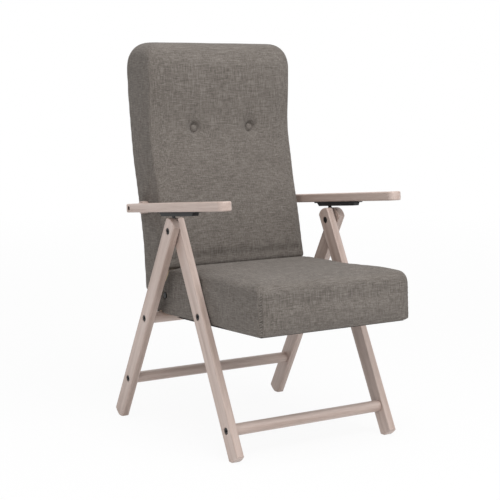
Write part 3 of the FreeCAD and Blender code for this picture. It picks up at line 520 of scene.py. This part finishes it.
def seamed_corners(points):
    """Draws the cover in along the two upright seams at the front corners of the seat."""
    side = np.sign(points[:, 0])
    across = np.abs(points[:, 0]) / MM - SEAT_HALF * SEAT_WIDER
    along = points[:, 1] / MM - SEAT_FRONT
    height = points[:, 2] / MM
    off_seam = (across + along) / math.sqrt(2)
    near = smoothstep(across, -40, -20) * (1 - smoothstep(along, 20, 40))
    below_top = 1 - smoothstep(height, SEAT_HIGH - 34, SEAT_HIGH - 14)
    ruffle = 1 + 0.35 * np.sin(height * 2 * math.pi / 14)
    depth = 5 * MM * ruffle * near * below_top * np.exp(-(off_seam / 4.5) ** 2)
    points[:, 0] -= side * depth / math.sqrt(2)
    points[:, 1] += depth / math.sqrt(2)


def clip_sides(points, half):
    points[:, 0] = np.clip(points[:, 0], -half * MM, half * MM)


def seat_cushion():
    verts, faces = joined(lofted(seat_rings()), lofted(ear_rings(1)), lofted(ear_rings(-1)))
    obj = piece("seat_cushion", verts, faces, seat_frame, cloth)
    skin(obj)
    points = points_of(obj.data)
    low = 1 - smoothstep(points[:, 2], (SEAT_LOW + 2) * MM, (SEAT_LOW + 16) * MM)
    ear = smoothstep(points[:, 1], (SEAT_REAR - 30) * MM, (SEAT_REAR - 5) * MM)
    puffed(obj, np.maximum(low, ear), 7 * MM, 1.5 * MM)
    refined(obj)
    points = points_of(obj.data)
    clip_sides(points, SEAT_SIDE_LIMIT)
    in_front = smoothstep(-points[:, 1], 60 * MM, 130 * MM)
    points[:, 0] *= 1 + (SEAT_WIDER - 1) * in_front
    rise = np.clip((SEAT_LOW + LOW_CORNER) * MM - points[:, 2], 0, LOW_CORNER * MM)
    pull = LOW_CORNER * MM - np.sqrt((LOW_CORNER * MM) ** 2 - rise ** 2)
    widest = SEAT_SIDE_LIMIT * SEAT_WIDER * MM
    rounded = np.sign(points[:, 0]) * np.minimum(np.abs(points[:, 0]), widest - pull)
    points[:, 0] += (rounded - points[:, 0]) * in_front
    seamed_corners(points)
    dimpled_side(points, 0, 0, 231.6, 16)
    dimpled_side(points, *in_seat(HINGE), 231.8, 8.5)
    move_points(obj.data, points)
    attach(obj, "seat")
    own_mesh(obj)
    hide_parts("seat_cover", "seat_foam", "ear_cover_left", "ear_cover_right")
    return obj


# Back upholstery: thick panel with a hollow front, drawn in at two buttons

BACK_FRONT = [(-16, 80), (3, 174), (57, 382), (75, 474), (73, 592), (74, 650)]
BACK_REAR = [(116, 0), (125, 89), (156, 250), (185, 410), (209, 593), (212, 650)]
BACK_FOOT = [(80, 0), (70, 44), (52, 64), (20, 66)]
BACK_TOP = 715
BACK_CORNER = 44
BACK_EDGE = 9
BACK_CROWN = 5
# Above the arms the back is wider and thicker
BACK_WIDER = 1.012
BACK_FULLER = 6
BACK_LOFT_HALF = BACK_HALF + 1.5
BACK_SIDE_LIMIT = BACK_HALF + 3


def spline(points):
    """Natural cubic through (y, z) points, as a function of z."""
    z = np.array([p[1] for p in points], float)
    y = np.array([p[0] for p in points], float)
    gap = np.diff(z)
    count = len(z)
    matrix = np.eye(count)
    right = np.zeros(count)
    for k in range(1, count - 1):
        matrix[k, k - 1:k + 2] = gap[k - 1], 2 * (gap[k - 1] + gap[k]), gap[k]
        right[k] = 6 * ((y[k + 1] - y[k]) / gap[k] - (y[k] - y[k - 1]) / gap[k - 1])
    bend = np.linalg.solve(matrix, right)

    def at(height):
        k = int(np.clip(np.searchsorted(z, height) - 1, 0, count - 2))
        a = (z[k + 1] - height) / gap[k]
        b = (height - z[k]) / gap[k]
        curve = ((a ** 3 - a) * bend[k] + (b ** 3 - b) * bend[k + 1]) * gap[k] ** 2 / 6
        return a * y[k] + b * y[k + 1] + curve

    return at


front_at = spline(BACK_FRONT)
rear_at = spline(BACK_REAR)


def back_ring(x):
    """Side outline of the back at a distance from its middle plane."""
    half = BACK_LOFT_HALF
    beyond = max(0.0, abs(x) - (half - BACK_CORNER))
    drop = BACK_CORNER - math.sqrt(max(0.0, BACK_CORNER ** 2 - beyond ** 2))
    rim = max(0.0, abs(x) - (half - BACK_EDGE))
    inset = BACK_EDGE - math.sqrt(max(0.0, BACK_EDGE ** 2 - rim ** 2))
    swell = BACK_CROWN * (1 - (x / half) ** 2)
    shoulder = BACK_FRONT[-1][1]
    low = BACK_FRONT[0][1]
    ring = []
    for z in np.linspace(low, shoulder, 40):
        ring.append((front_at(z) + inset - swell * math.sin(math.pi * (z - low) / (shoulder + 60 - low)), z))
    nose = front_at(shoulder) + inset
    tail = rear_at(shoulder) - inset / 2 + BACK_FULLER
    for angle in np.radians(np.linspace(172, 8, 21)):
        along = math.copysign(abs(math.cos(angle)) ** 0.6, math.cos(angle))
        y = (nose + tail) / 2 + (tail - nose) / 2 * along
        ring.append((y, shoulder + (BACK_TOP - shoulder) * math.sin(angle) ** 0.6))
    for z in np.linspace(shoulder, 0, 40):
        fuller = BACK_FULLER * float(smoothstep(z, 200, 350))
        ring.append((rear_at(z) - inset / 2 + fuller, z))
    ring += [(y, z + inset) for y, z in BACK_FOOT]
    lowered = []
    for y, z in ring:
        lowered.append((x, y, z - drop * float(smoothstep(z, 470, BACK_TOP))))
    return lowered


def back_rings():
    straight = BACK_LOFT_HALF - BACK_CORNER
    places = list(np.linspace(-straight, straight, 19))
    for angle in np.radians(np.linspace(10, 90, 9)):
        x = straight + BACK_CORNER * math.sin(angle)
        places.append(x)
        places.insert(0, -x)
    return [back_ring(x) for x in places]


buttons_low, buttons_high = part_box("tuft_buttons")
BUTTON_RADIUS = (buttons_high[2] - buttons_low[2]) / 2
BUTTON_X = buttons_high[0] - BUTTON_RADIUS
BUTTON_Z = (buttons_low[2] + buttons_high[2]) / 2 - HINGE.z
TUFT_DEEP = 15 * MM
TUFT_REACH = 26 * MM


def tufted(points, normals):
    """Draws the front in at the buttons, with soft creases above and below each."""
    front = smoothstep(-normals[:, 1], 0.2, 0.6)
    for side in (1, -1):
        across = points[:, 0] - side * BUTTON_X
        up = points[:, 2] - BUTTON_Z
        reach = np.hypot(across, up)
        wide = np.exp(-(reach / TUFT_REACH) ** 2)
        tight = np.exp(-(reach / (0.66 * TUFT_REACH)) ** 6)
        along = np.where(up > 0, up / 0.06, -up / 0.04)
        valley = 7 * MM + 0.12 * np.abs(up)
        crease = 3.2 * MM * np.exp(-(across / valley) ** 2) * np.exp(-along ** 2)
        points[:, 1] += front * (TUFT_DEEP * (0.45 * wide + 0.55 * tight) + crease)


def in_back(place):
    """Side-view y and z of a place, in millimetres in the back's frame."""
    return (place.y - HINGE.y) / MM, (place.z - HINGE.z) / MM


def back_cushion():
    verts, faces = lofted(back_rings())
    obj = piece("back_cushion", verts, faces, back_frame, cloth)
    skin(obj)
    points = points_of(obj.data)
    foot = 1 - smoothstep(points[:, 2], 70 * MM, 130 * MM)
    bolt_y, bolt_z = in_back(ARM_BOLT)
    bolt = np.hypot(points[:, 1] - bolt_y * MM, points[:, 2] - bolt_z * MM)
    clamp = (1 - smoothstep(bolt, 18 * MM, 40 * MM)) * (np.abs(points[:, 0]) > 0.2)
    puffed(obj, np.maximum(foot, clamp), 6 * MM, 1.5 * MM)
    refined(obj)
    points = points_of(obj.data)
    clip_sides(points, BACK_SIDE_LIMIT)
    points[:, 0] *= 1 + (BACK_WIDER - 1) * smoothstep(points[:, 2], 300 * MM, 400 * MM)
    dimpled_side(points, *in_back(ARM_BOLT), BACK_HALF, 19)
    tufted(points, normals_of(obj.data))
    move_points(obj.data, points)
    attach(obj, "back")
    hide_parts("back_cover", "back_foam")
    return obj


def surface_of(obj):
    """Ray caster over a piece's mesh, in the piece's own frame."""
    mesh = obj.data
    return BVHTree.FromPolygons([v.co for v in mesh.vertices], [p.vertices for p in mesh.polygons])


def tuft_button(side, surface):
    """Domed button in cover cloth that is gathered under its rim."""
    radius = 1.06 * BUTTON_RADIUS / MM
    hit = surface.ray_cast(Vector((side * BUTTON_X, -0.3, BUTTON_Z)), Vector((0, 1, 0)))[0]
    dome = [(0.05, 8.0), (0.3, 7.8), (0.55, 7.1), (0.78, 5.6), (0.93, 3.6)]
    profile = dome + [(1.0, 1.2), (0.97, -1.0), (0.8, -2.2)]
    steps = 48
    pleats = 12
    rings = []
    for share, rise in profile:
        ring = []
        for k in range(steps):
            angle = 2 * math.pi * k / steps
            reach = share * radius + 0.25 * math.cos(pleats * angle) * share ** 4
            ring.append((reach * math.cos(angle), -rise, reach * math.sin(angle)))
        rings.append(ring)
    name = "tuft_button_right" if side > 0 else "tuft_button_left"
    place = back_frame @ Matrix.Translation(hit + Vector((0, -0.6 * MM, 0)))
    obj = piece(name, *lofted(rings), place, cloth)
    obj.data.shade_smooth()
    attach(obj, "back")
    return obj


def stitch(start, end, out, width):
    """One flat, round-ended thread stitch that lies on a surface; returns vertices and faces."""
    way = end - start
    side = way.cross(out).normalized()
    rings = []
    profile = [(0, -0.2, 0.3), (0.15, 0.5, 0.8), (0.5, 0.9, 1.0), (0.85, 0.5, 0.8), (1, -0.2, 0.3)]
    for along, lift, wide in profile:
        middle = start + way * along + out * lift * width
        ring = []
        for k in range(6):
            angle = math.pi * k / 3
            ring.append(middle + (side * math.cos(angle) + out * 0.7 * math.sin(angle)) * width * wide / 2)
        rings.append([tuple(p / MM) for p in ring])
    return lofted(rings)


def corner_seam(side, surface):
    """Hand-sewn seam up one front corner of the seat: slanted stitches over the joint of two panels."""
    solids = []
    step = 7.0
    towards = Vector((-side, 1, 0)).normalized()
    for z in np.arange(SEAT_LOW + 8, SEAT_HIGH - 26, step):
        pair = []
        for rise, spread in ((0.0, -3.8), (4.0, 3.8)):
            across = Vector((1, side, 0)).normalized() * spread * MM
            corner = Vector((side * SEAT_HALF * SEAT_WIDER, SEAT_FRONT, z + rise)) * MM
            start = corner + across - towards * 0.08
            hit, normal, _, _ = surface.ray_cast(start, towards)
            if hit is not None:
                pair.append((hit, normal))
        if len(pair) == 2:
            out = (pair[0][1] + pair[1][1]).normalized()
            solids.append(stitch(pair[0][0], pair[1][0], out, 1.5 * MM))
    name = "seat_seam_right" if side > 0 else "seat_seam_left"
    obj = piece(name, *joined(*solids), seat_frame, thread)
    obj.data.shade_smooth()
    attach(obj, "seat")
    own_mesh(obj)
    return obj


def dust_sheet():
    """Thin lining stapled under the seat, drawn slightly up between its edges."""
    low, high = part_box("seat_dust_cover")
    half = high[0] / MM
    front = in_seat(Vector((0, low[1], low[2])))[0]
    rear = in_seat(Vector((0, high[1], low[2])))[0]
    columns, rows = 32, 28
    verts = []
    for j in range(rows + 1):
        for i in range(columns + 1):
            u = 2 * i / columns - 1
            v = 2 * j / rows - 1
            ripple = 0.3 * math.sin(9 * u + 5 * v) * (1 - u * u) * (1 - v * v)
            y = front + (rear - front) * (v + 1) / 2
            verts.append(Vector((half * u, y, SEAT_LOW - 1.6 + ripple)) * MM)
    faces = []
    for j in range(rows):
        for i in range(columns):
            a = j * (columns + 1) + i
            faces.append((a, a + 1, a + columns + 2, a + columns + 1))
    obj = piece("dust_sheet", verts, faces, seat_frame, lining)
    obj.data.shade_smooth()
    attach(obj, "seat")
    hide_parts("seat_dust_cover")
    return obj


seat = seat_cushion()
seat_surface = surface_of(seat)
for side in (1, -1):
    corner_seam(side, seat_surface)
back = back_cushion()
back_surface = surface_of(back)
right_button = tuft_button(1, back_surface)
left_button = tuft_button(-1, back_surface)
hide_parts("tuft_buttons")
dust_sheet()


# Floor, light and camera

def seen_directly(tree, *more_rays):
    """1 for camera rays and the other rays named, else 0."""
    rays = add(tree, "ShaderNodeLightPath", {})
    direct = rays["Is Camera Ray"]
    for ray in more_rays:
        direct = compute(tree, "MAXIMUM", direct, rays[ray])
    return direct


def white_floor():
    """Large pale floor that is nearly white to the camera and keeps a faint shadow."""
    mesh = bpy.data.meshes.new("floor")
    reach = 60.0
    mesh.from_pydata([(-reach, -reach, 0), (reach, -reach, 0), (reach, reach, 0), (-reach, reach, 0)], [],
                     [(0, 1, 2, 3)])
    floor = bpy.data.objects.new("floor", mesh)
    bpy.context.scene.collection.objects.link(floor)
    material = bpy.data.materials.new("floor_paint")
    material.use_nodes = True
    tree = material.node_tree
    tree.nodes.clear()
    out = tree.nodes.new("ShaderNodeOutputMaterial")
    paint = add(tree, "ShaderNodeBsdfDiffuse", {"Color": (0.9, 0.9, 0.9, 1)})[0]
    glow = add(tree, "ShaderNodeEmission", {"Color": (1, 1, 1, 1), "Strength": 1.0})[0]
    direct = seen_directly(tree, "Is Glossy Ray")
    reach_out = add(tree, "ShaderNodeVectorMath", {0: object_coords(tree)}, operation="LENGTH")["Value"]
    fade = {"Value": reach_out, "From Min": 1.0, "From Max": 6.0, "To Min": 0.93, "To Max": 1.0}
    share = compute(tree, "MULTIPLY", direct, add(tree, "ShaderNodeMapRange", fade)[0])
    mixed = add(tree, "ShaderNodeMixShader", {0: share, 1: paint, 2: glow})[0]
    tree.links.new(mixed, out.inputs["Surface"])
    mesh.materials.append(material)


def white_world():
    world = bpy.data.worlds.new("studio")
    world.use_nodes = True
    tree = world.node_tree
    tree.nodes.clear()
    out = tree.nodes.new("ShaderNodeOutputWorld")
    dome = add(tree, "ShaderNodeBackground", {"Color": (1, 1, 1, 1), "Strength": 0.5})[0]
    wall = add(tree, "ShaderNodeBackground", {"Color": (1, 1, 1, 1), "Strength": 1.0})[0]
    direct = seen_directly(tree, "Is Glossy Ray", "Is Transmission Ray")
    tree.links.new(add(tree, "ShaderNodeMixShader", {0: direct, 1: dome, 2: wall})[0], out.inputs["Surface"])
    bpy.context.scene.world = world


def aimed(obj, place, target):
    obj.location = place
    obj.rotation_euler = (Vector(target) - Vector(place)).to_track_quat("-Z", "Y").to_euler()
    bpy.context.scene.collection.objects.link(obj)


def softbox(name, place, size, power):
    light = bpy.data.lights.new(name, "AREA")
    light.shape = "SQUARE"
    light.size = size
    light.energy = power
    aimed(bpy.data.objects.new(name, light), place, (0, 0, 0.5))


CAMERA_PLACE = (-1.9984, -3.0780, 1.0014)
CAMERA_TARGET = (-0.02136, 0.0339, 0.5105)

white_floor()
white_world()
softbox("top_light", (-0.2, -1.3, 3.3), 2.4, 72)
softbox("front_light", (0.9, -3.4, 2.2), 2.4, 24)
softbox("side_light", (-3.0, -0.8, 1.8), 2.0, 10)

lens = bpy.data.cameras.new("camera")
lens.sensor_width = 36
lens.lens = 94.26
camera = bpy.data.objects.new("camera", lens)
aimed(camera, CAMERA_PLACE, CAMERA_TARGET)
bpy.context.scene.camera = camera
bpy.context.scene.view_settings.view_transform = "Standard"
